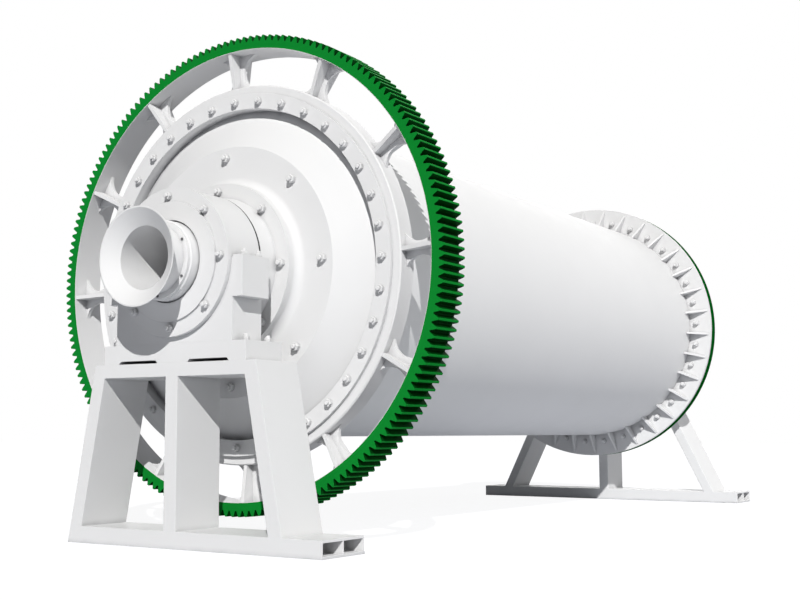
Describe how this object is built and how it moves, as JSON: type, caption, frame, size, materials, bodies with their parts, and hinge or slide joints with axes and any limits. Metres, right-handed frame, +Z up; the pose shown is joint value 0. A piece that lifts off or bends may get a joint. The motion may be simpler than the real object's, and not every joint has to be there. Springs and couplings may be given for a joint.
{
  "type": "ball mill",
  "caption": "Horizontal grinding drum on two trunnion bearings and splayed steel stands, with a spoked ring gear and a feed funnel at one end.",
  "frame": {"origin": "on the ground under the middle of the machine's bounding box, below the mill axis", "axes": "+X along the mill axis from the feed end to the discharge end, +Z up, -Y the side seen first"},
  "size_m": [7.695, 3.2486, 3.4093],
  "materials": {
    "white_paint": "satin",
    "green_paint": "satin"
  },
  "bodies": {
    "stands": {"front_stand_base": "white_paint", "front_stand_left_leg": "white_paint", "front_stand_middle_leg": "white_paint", "front_stand_right_leg": "white_paint", "front_stand_top_beam": "white_paint", "front_sole_plate": "white_paint", "front_bearing_housing": "white_paint", "front_bearing_cap": "white_paint", "front_bearing_cover": "white_paint", "rear_stand_base": "white_paint", "rear_stand_left_leg": "white_paint", "rear_stand_middle_leg": "white_paint", "rear_stand_right_leg": "white_paint", "rear_stand_top_beam": "white_paint", "rear_sole_plate": "white_paint", "rear_bearing_housing": "white_paint", "rear_bearing_cap": "white_paint", "rear_bearing_cover": "white_paint"},
    "drum": {"shell": "white_paint", "front_head": "white_paint", "rear_head": "white_paint", "rear_shell_flange": "white_paint", "gear_hub_ring": "white_paint", "gear_spokes": "white_paint", "gear_rim": "green_paint", "front_trunnion": "white_paint", "rear_trunnion": "white_paint", "feed_tube": "white_paint", "feed_funnel": "white_paint"}
  },
  "joints": [
    {"name": "drum_spin", "type": "hinge", "parent": "stands", "child": "drum", "pos_m": [0, 0, 1.785], "axis": [1, 0, 0], "continuous": true}
  ]
}
